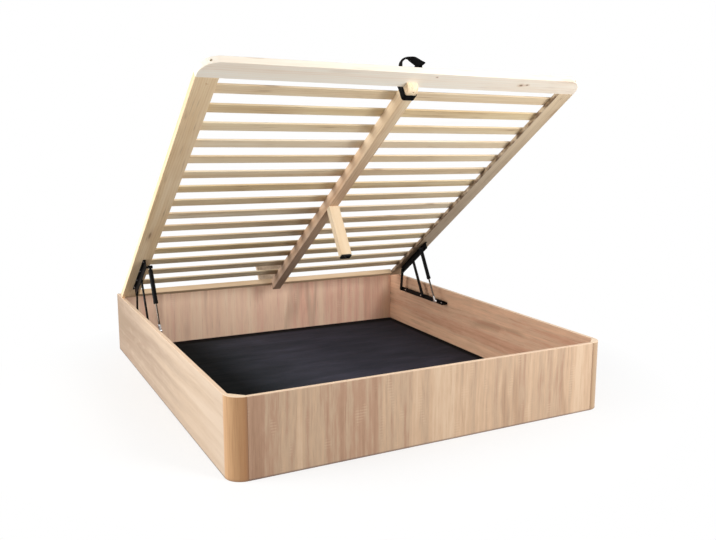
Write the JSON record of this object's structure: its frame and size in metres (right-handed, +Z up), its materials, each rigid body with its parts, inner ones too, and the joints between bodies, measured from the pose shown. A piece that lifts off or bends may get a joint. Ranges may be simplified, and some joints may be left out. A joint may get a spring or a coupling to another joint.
{
  "type": "ottoman storage bed",
  "caption": "Ottoman storage bed in light oak: open-top box on the floor, slatted lid that lifts from the foot end on gas-spring linkages.",
  "frame": {"origin": "on the floor under the middle of the box", "axes": "+X to the right seen from the foot end, +Y from the foot end to the head end, +Z up"},
  "size_m": [1.6, 1.9, 1.4201],
  "materials": {
    "oak_board": "oak-look foil board, satin",
    "oak_post": "smooth satin oak-look foil",
    "pine": "planed and clear varnished",
    "slat_wood": "bent plywood slats, satin",
    "hardboard": "raw hardboard",
    "black_cloth": "matt non-woven cloth",
    "black_steel": "black satin powder coat",
    "zinc": "bright zinc plate",
    "rod_steel": "ground and polished",
    "black_plastic": "moulded, fine matt",
    "black_webbing": "woven strap"
  },
  "bodies": {
    "base": {"panel_left": "oak_board", "panel_right": "oak_board", "panel_head": "oak_board", "panel_foot": "oak_board", "post_left": "oak_post", "post_right": "oak_post", "floor_board": "hardboard", "floor_cloth": "black_cloth", "lower_rail_left": "black_steel", "lower_rail_right": "black_steel"},
    "lid": {"lid_rail_left": "pine", "lid_rail_right": "pine", "lid_rail_foot": "pine", "lid_rail_head": "pine", "slat_01": "slat_wood", "slat_02": "slat_wood", "slat_03": "slat_wood", "slat_04": "slat_wood", "slat_05": "slat_wood", "slat_06": "slat_wood", "slat_07": "slat_wood", "slat_08": "slat_wood", "slat_09": "slat_wood", "slat_10": "slat_wood", "slat_11": "slat_wood", "slat_12": "slat_wood", "slat_13": "slat_wood", "slat_14": "slat_wood", "slat_15": "slat_wood", "lid_beam": "pine", "lid_leg": "pine", "leg_foot": "black_plastic", "mattress_stop": "oak_board", "pull_strap": "black_webbing", "upper_rail_left": "black_steel", "upper_rail_right": "black_steel"},
    "front_link_left": {"front_link_left": "black_steel"},
    "rear_link_left": {"rear_link_left": "black_steel"},
    "gas_rod_left": {"gas_rod_left": "rod_steel", "gas_end_left": "zinc"},
    "gas_tube_left": {"gas_tube_left": "black_steel"},
    "front_link_right": {"front_link_right": "black_steel"},
    "rear_link_right": {"rear_link_right": "black_steel"},
    "gas_rod_right": {"gas_rod_right": "rod_steel", "gas_end_right": "zinc"},
    "gas_tube_right": {"gas_tube_right": "black_steel"}
  },
  "joints": [
    {"name": "lid_lift", "type": "hinge", "parent": "base", "child": "front_link_left", "pos_m": [-0.747, 0.47644, 0.23011], "axis": [1, 0, 0], "range_deg": [-49.69, 0], "stiffness_Nm_per_rad": 32, "springref_deg": 171.89},
    {"name": "lid_pivot", "type": "hinge", "parent": "front_link_left", "child": "lid", "pos_m": [-0.747, 0.58988, 0.41392], "axis": [1, 0, 0], "range_deg": [-1, 85.5]},
    {"name": "front_link_right_turn", "type": "hinge", "parent": "base", "child": "front_link_right", "pos_m": [0.747, 0.47644, 0.23011], "axis": [1, 0, 0], "range_deg": [-51, 1]},
    {"name": "rear_link_left_turn", "type": "hinge", "parent": "base", "child": "rear_link_left", "pos_m": [-0.747, 0.72802, 0.22534], "axis": [1, 0, 0], "range_deg": [-76, 1]},
    {"name": "gas_spring_left_turn", "type": "hinge", "parent": "base", "child": "gas_rod_left", "pos_m": [-0.747, 0.31102, 0.229], "axis": [1, 0, 0], "range_deg": [-51, 1]},
    {"name": "gas_spring_left_slide", "type": "slide", "parent": "gas_rod_left", "child": "gas_tube_left", "axis": [0, 0.5158, 0.8567], "range_m": [-0.0815, 0.001]},
    {"name": "rear_link_right_turn", "type": "hinge", "parent": "base", "child": "rear_link_right", "pos_m": [0.747, 0.72802, 0.22534], "axis": [1, 0, 0], "range_deg": [-76, 1]},
    {"name": "gas_spring_right_turn", "type": "hinge", "parent": "base", "child": "gas_rod_right", "pos_m": [0.747, 0.31102, 0.229], "axis": [1, 0, 0], "range_deg": [-51, 1]},
    {"name": "gas_spring_right_slide", "type": "slide", "parent": "gas_rod_right", "child": "gas_tube_right", "axis": [0, 0.5158, 0.8567], "range_m": [-0.0815, 0.001]}
  ],
  "couplings": [
    {"joint": "lid_pivot", "follows": "lid_lift", "ratio": -1.6862},
    {"joint": "front_link_right_turn", "follows": "lid_lift", "ratio": 1},
    {"joint": "rear_link_left_turn", "follows": "lid_lift", "ratio": 1.499},
    {"joint": "gas_spring_left_turn", "follows": "lid_lift", "ratio": 0.99902},
    {"joint": "gas_spring_left_slide", "follows": "lid_lift", "m_per_rad": 0.088554},
    {"joint": "rear_link_right_turn", "follows": "lid_lift", "ratio": 1.499},
    {"joint": "gas_spring_right_turn", "follows": "lid_lift", "ratio": 0.99902},
    {"joint": "gas_spring_right_slide", "follows": "lid_lift", "m_per_rad": 0.088554}
  ]
}
